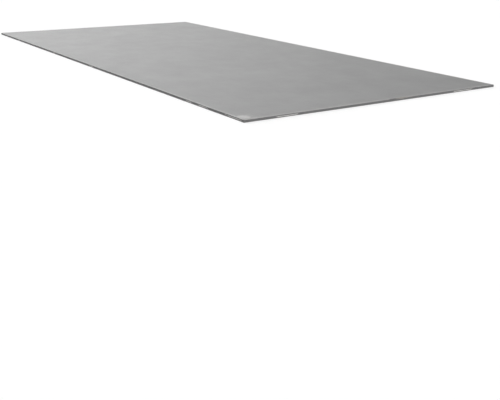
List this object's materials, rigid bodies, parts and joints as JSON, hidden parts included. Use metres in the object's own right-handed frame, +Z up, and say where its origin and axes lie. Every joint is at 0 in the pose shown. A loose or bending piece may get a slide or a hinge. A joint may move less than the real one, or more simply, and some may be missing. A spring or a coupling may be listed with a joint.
{
  "type": "anti-slip plywood sheet",
  "caption": "Full-size 9 mm film-faced birch plywood panel, grey, with a wire-mesh anti-slip face up, sealed edges and handling wear.",
  "frame": {"origin": "on the floor below the middle of the sheet: the bottom centre of its box", "axes": "+X along the long sides towards the chipped front end, +Y across the sheet away from the near long side, +Z up out of the anti-slip face"},
  "size_m": [2.44, 1.22, 0.009],
  "materials": {
    "film_faced_plywood": "matte"
  },
  "bodies": {
    "root": {"plywood_sheet": "film_faced_plywood"}
  },
  "joints": []
}
